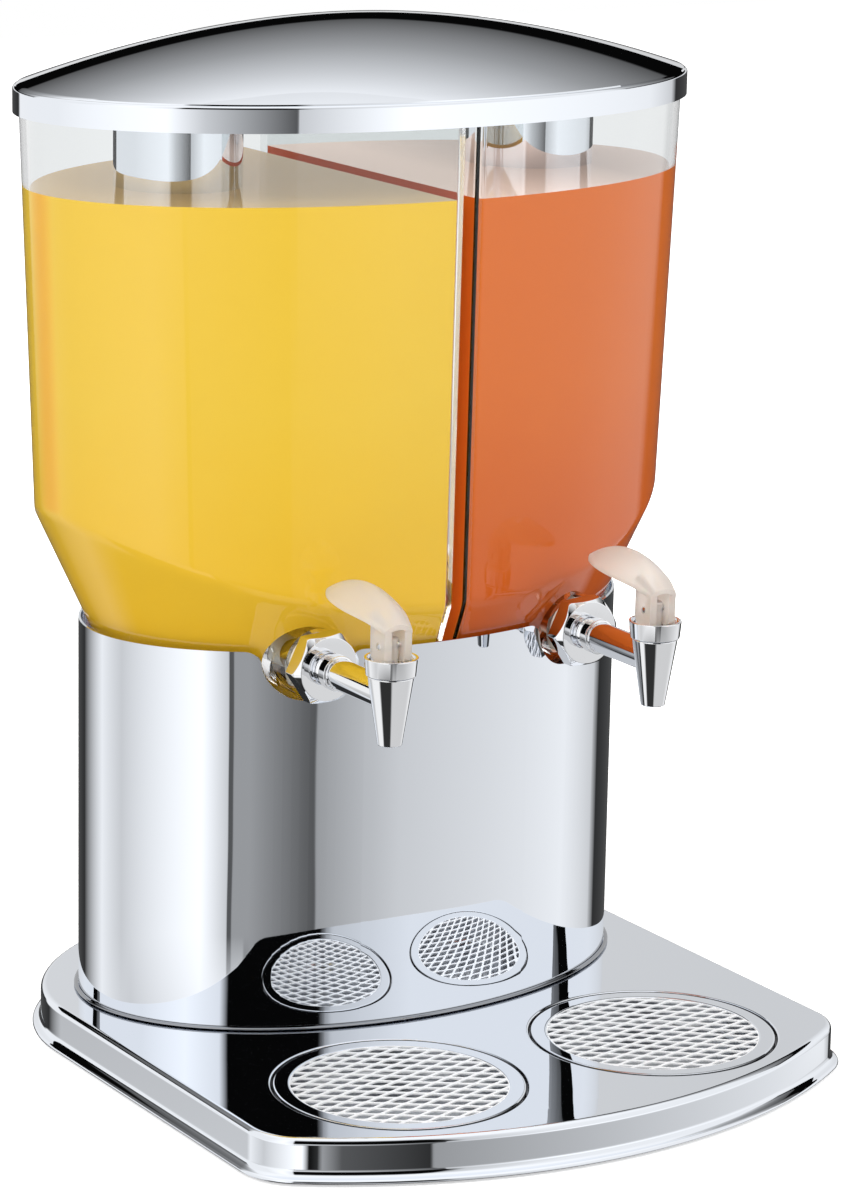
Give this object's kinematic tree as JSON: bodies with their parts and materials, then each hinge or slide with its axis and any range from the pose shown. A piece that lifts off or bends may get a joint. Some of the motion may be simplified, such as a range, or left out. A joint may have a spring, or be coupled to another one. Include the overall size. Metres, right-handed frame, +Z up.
{
  "type": "double juice dispenser",
  "caption": "Buffet juice dispenser: clear half-oval tanks side by side in an oval steel column on a drip base, with spring-closed taps, ice tubes and a shared domed lid.",
  "frame": {"origin": "centre of the base's footprint, on the table", "axes": "+Z up; the taps face -Y; +X to the right as seen by the person who fills a glass"},
  "size_m": [0.3592, 0.3792, 0.5017],
  "materials": {
    "polished_steel": "mirror-polished stainless steel",
    "satin_steel": "satin stainless steel",
    "tap_chrome": "chromed brass, polished",
    "clear_plastic": "clear, moulded",
    "frosted_plastic": "milky, lightly frosted",
    "silicone": "soft, milky silicone",
    "black_rubber": "matt"
  },
  "bodies": {
    "base": {"base_tray": "polished_steel", "foot_front_left": "black_rubber", "foot_front_right": "black_rubber", "foot_rear_left": "black_rubber", "foot_rear_right": "black_rubber", "column_shell": "polished_steel", "column_foot_ring": "polished_steel", "tank_shelf": "satin_steel"},
    "drip_cup_left": {"drip_cup_left": "satin_steel"},
    "drip_grille_left": {"drip_grille_left": "polished_steel"},
    "tank_left": {"tank_left": "clear_plastic", "tap_shank_left": "tap_chrome", "tap_inner_gasket_left": "silicone", "tap_outer_gasket_left": "silicone", "tap_nut_left": "tap_chrome", "tap_body_left": "tap_chrome", "tap_bonnet_left": "tap_chrome"},
    "stem_left": {"tap_stem_left": "frosted_plastic", "tap_seat_cup_left": "silicone", "tap_lever_pin_left": "satin_steel"},
    "lever_left": {"tap_lever_left": "frosted_plastic"},
    "drip_cup_right": {"drip_cup_right": "satin_steel"},
    "drip_grille_right": {"drip_grille_right": "polished_steel"},
    "tank_right": {"tank_right": "clear_plastic", "tap_shank_right": "tap_chrome", "tap_inner_gasket_right": "silicone", "tap_outer_gasket_right": "silicone", "tap_nut_right": "tap_chrome", "tap_body_right": "tap_chrome", "tap_bonnet_right": "tap_chrome"},
    "stem_right": {"tap_stem_right": "frosted_plastic", "tap_seat_cup_right": "silicone", "tap_lever_pin_right": "satin_steel"},
    "lever_right": {"tap_lever_right": "frosted_plastic"},
    "lid": {"lid_shell": "polished_steel", "lid_collar_left": "satin_steel", "lid_collar_right": "satin_steel"},
    "ice_tube_left": {"ice_tube_left": "polished_steel", "ice_tube_seal_left": "silicone"},
    "ice_tube_right": {"ice_tube_right": "polished_steel", "ice_tube_seal_right": "silicone"}
  },
  "joints": [
    {"name": "tank_left_lift", "type": "slide", "parent": "base", "child": "tank_left", "axis": [0, 0, 1], "range_m": [0, 0.06]},
    {"name": "tank_right_lift", "type": "slide", "parent": "base", "child": "tank_right", "axis": [0, 0, 1], "range_m": [0, 0.06]},
    {"name": "lid_lift", "type": "slide", "parent": "tank_left", "child": "lid", "axis": [0, 0, 1], "range_m": [0, 0.21]},
    {"name": "ice_tube_left_turn", "type": "hinge", "parent": "lid", "child": "ice_tube_left", "pos_m": [-0.099, 0.0665, 0.4693], "axis": [0, 0, 1], "range_deg": [0, 50]},
    {"name": "ice_tube_right_turn", "type": "hinge", "parent": "lid", "child": "ice_tube_right", "pos_m": [0.099, 0.0665, 0.4693], "axis": [0, 0, 1], "range_deg": [0, 50]},
    {"name": "drip_cup_left_lift", "type": "slide", "parent": "base", "child": "drip_cup_left", "axis": [0, 0, 1], "range_m": [0, 0.03]},
    {"name": "drip_grille_left_lift", "type": "slide", "parent": "drip_cup_left", "child": "drip_grille_left", "axis": [0, 0, 1], "range_m": [0, 0.03]},
    {"name": "stem_left_lift", "type": "slide", "parent": "tank_left", "child": "stem_left", "axis": [0, 0, 1], "range_m": [0, 0.0023]},
    {"name": "lever_left_tilt", "type": "hinge", "parent": "stem_left", "child": "lever_left", "pos_m": [-0.074, -0.0905, 0.2315], "axis": [1, 0, 0], "range_deg": [0, 50], "stiffness_Nm_per_rad": 0.3},
    {"name": "drip_cup_right_lift", "type": "slide", "parent": "base", "child": "drip_cup_right", "axis": [0, 0, 1], "range_m": [0, 0.03]},
    {"name": "drip_grille_right_lift", "type": "slide", "parent": "drip_cup_right", "child": "drip_grille_right", "axis": [0, 0, 1], "range_m": [0, 0.03]},
    {"name": "stem_right_lift", "type": "slide", "parent": "tank_right", "child": "stem_right", "axis": [0, 0, 1], "range_m": [0, 0.0023]},
    {"name": "lever_right_tilt", "type": "hinge", "parent": "stem_right", "child": "lever_right", "pos_m": [0.074, -0.0905, 0.2315], "axis": [1, 0, 0], "range_deg": [0, 50], "stiffness_Nm_per_rad": 0.3}
  ],
  "couplings": [
    {"joint": "tank_right_lift", "follows": "tank_left_lift", "ratio": 1},
    {"joint": "stem_left_lift", "follows": "lever_left_tilt", "m_per_rad": 0.0026333},
    {"joint": "stem_right_lift", "follows": "lever_right_tilt", "m_per_rad": 0.0026333}
  ]
}
